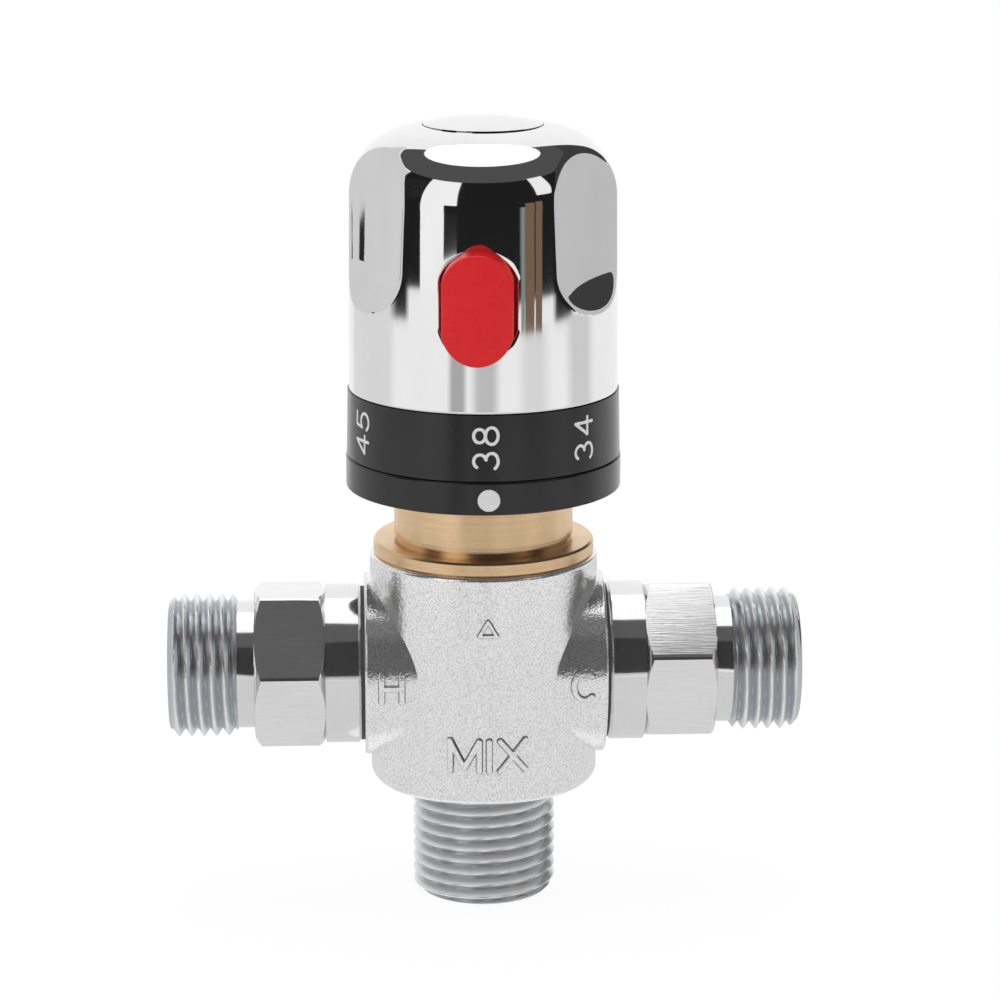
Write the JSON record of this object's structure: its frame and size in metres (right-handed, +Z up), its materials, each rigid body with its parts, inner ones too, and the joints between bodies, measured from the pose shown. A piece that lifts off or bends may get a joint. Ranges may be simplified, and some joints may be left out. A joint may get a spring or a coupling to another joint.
{
  "type": "mixing valve",
  "caption": "Three-port temperature mixing valve: cast chrome body with hot and cold inlets left and right, mixed outlet below and a turning knob with a red safety button.",
  "frame": {"origin": "centre of the outlet spigot's end face, on the knob's axis", "axes": "+Z up along the knob's axis, hot inlet towards -X, cold inlet towards +X, index dot facing -Y"},
  "size_m": [0.092, 0.0438, 0.115],
  "materials": {
    "chrome_cast": "bright chrome plate over a cast brass surface",
    "chrome_turned": "polished chrome plate over turned brass",
    "chromed_plastic": "bright chrome-plated moulded ABS",
    "brass": "satin turned brass",
    "stainless": "plain stainless steel",
    "black_plastic": "black, semi-gloss",
    "red_plastic": "red, gloss",
    "white_plastic": "natural white",
    "grey_plastic": "dark grey, fibre-filled",
    "black_rubber": "black rubber"
  },
  "bodies": {
    "valve": {"valve_body": "chrome_cast", "hot_inlet_adapter": "chrome_turned", "cold_inlet_adapter": "chrome_turned", "bonnet": "brass", "upper_seat_ring": "brass", "hot_strainer": "stainless", "cold_strainer": "stainless", "return_spring": "stainless", "hot_check_spring": "stainless", "cold_check_spring": "stainless", "index_ring": "black_plastic", "hot_check_cage": "white_plastic", "cold_check_cage": "white_plastic", "cartridge_sleeve": "grey_plastic", "bonnet_oring": "black_rubber", "sleeve_middle_oring": "black_rubber", "sleeve_lower_oring": "black_rubber", "hot_check_oring": "black_rubber", "cold_check_oring": "black_rubber", "hot_adapter_gasket": "black_rubber", "cold_adapter_gasket": "black_rubber"},
    "knob": {"spindle": "brass", "spindle_lower_oring": "black_rubber", "spindle_upper_oring": "black_rubber", "spindle_clip": "stainless", "dial_ring": "black_plastic", "knob_hub": "white_plastic", "knob_shell": "chromed_plastic", "knob_screw": "stainless", "knob_cap": "chromed_plastic", "button_spring": "stainless"},
    "button": {"push_button": "red_plastic"},
    "regulator": {"regulating_nut": "brass", "cup_clip": "stainless", "overtravel_spring": "stainless"},
    "overtravel_cup": {"spring_cup": "brass", "element_pin": "stainless"},
    "shuttle": {"shuttle": "grey_plastic", "shuttle_oring": "black_rubber", "wax_element": "brass"},
    "hot_poppet": {"hot_check_poppet": "white_plastic", "hot_check_washer": "black_rubber"},
    "cold_poppet": {"cold_check_poppet": "white_plastic", "cold_check_washer": "black_rubber"}
  },
  "joints": [
    {"name": "knob_turn", "type": "hinge", "parent": "valve", "child": "knob", "pos_m": [0, 0, 0.07], "axis": [0, 0, 1], "range_deg": [-150, 105]},
    {"name": "button_press", "type": "slide", "parent": "knob", "child": "button", "axis": [0.075, 0.9972, 0], "range_m": [0, 0.0028], "stiffness_N_per_m": 1500, "springref_m": -0.0008, "deforming": ["button_spring"]},
    {"name": "regulator_slide", "type": "slide", "parent": "valve", "child": "regulator", "axis": [0, 0, 1], "range_m": [-0.00083, 0.00058], "deforming": ["return_spring"]},
    {"name": "overtravel_slide", "type": "slide", "parent": "regulator", "child": "overtravel_cup", "axis": [0, 0, 1], "range_m": [0, 0.0012], "stiffness_N_per_m": 400, "springref_m": -0.0003, "deforming": ["overtravel_spring"]},
    {"name": "wax_stroke", "type": "slide", "parent": "regulator", "child": "shuttle", "axis": [0, 0, 1], "range_m": [-0.0008, 0], "stiffness_N_per_m": 300, "springref_m": 0.0006},
    {"name": "hot_check_lift", "type": "slide", "parent": "valve", "child": "hot_poppet", "axis": [1, 0, 0], "range_m": [0, 0.0022], "stiffness_N_per_m": 200, "springref_m": -0.001, "deforming": ["hot_check_spring"]},
    {"name": "cold_check_lift", "type": "slide", "parent": "valve", "child": "cold_poppet", "axis": [-1, 0, 0], "range_m": [0, 0.0022], "stiffness_N_per_m": 200, "springref_m": -0.001, "deforming": ["cold_check_spring"]}
  ],
  "couplings": [
    {"joint": "knob_turn", "follows": "regulator_slide", "rad_per_m": 3141.6}
  ]
}
